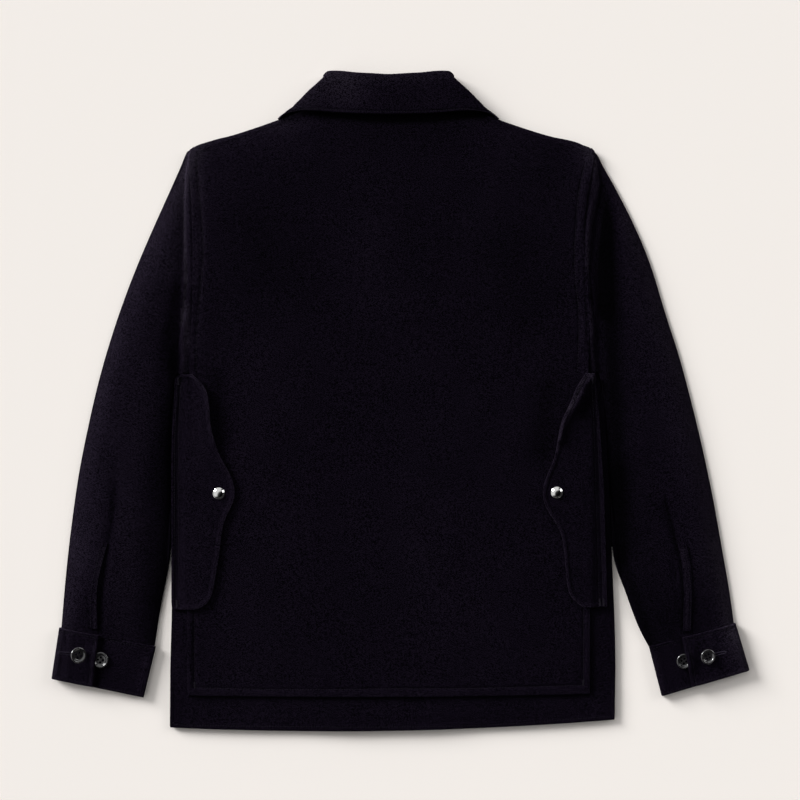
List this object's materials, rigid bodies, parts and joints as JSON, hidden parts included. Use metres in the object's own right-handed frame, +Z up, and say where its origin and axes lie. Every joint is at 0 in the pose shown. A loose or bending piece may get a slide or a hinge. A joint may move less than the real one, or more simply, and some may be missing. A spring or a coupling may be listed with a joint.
{
  "type": "mackinaw jacket",
  "caption": "Heavy wool mackinaw jacket laid flat, face down, back up, with sleeves at its sides, fold-down collar, full back pocket panel, shaped snap flaps and buttoned cuffs.",
  "frame": {"origin": "middle of the footprint, on the surface that the jacket lies on", "axes": "+Z up from the surface, through the layers to the jacket's back, +Y from hem to collar, +X towards the wearer's right sleeve"},
  "size_m": [0.8384, 0.789, 0.0203],
  "materials": {
    "wool": "matte felted wool",
    "button": "polished",
    "nickel": "polished nickel plate"
  },
  "bodies": {
    "root": {"front_left": "wool", "front_right": "wool", "back": "wool", "back_pocket_panel": "wool", "pocket_flap_left": "wool", "pocket_flap_right": "wool", "snap_left": "nickel", "snap_right": "nickel", "sleeve_left": "wool", "sleeve_right": "wool", "sleeve_placket_left": "wool", "sleeve_placket_right": "wool", "cuff_left": "wool", "cuff_right": "wool", "cuff_button_left_1": "button", "cuff_button_left_2": "button", "cuff_button_right_1": "button", "cuff_button_right_2": "button", "collar": "wool"}
  },
  "joints": []
}
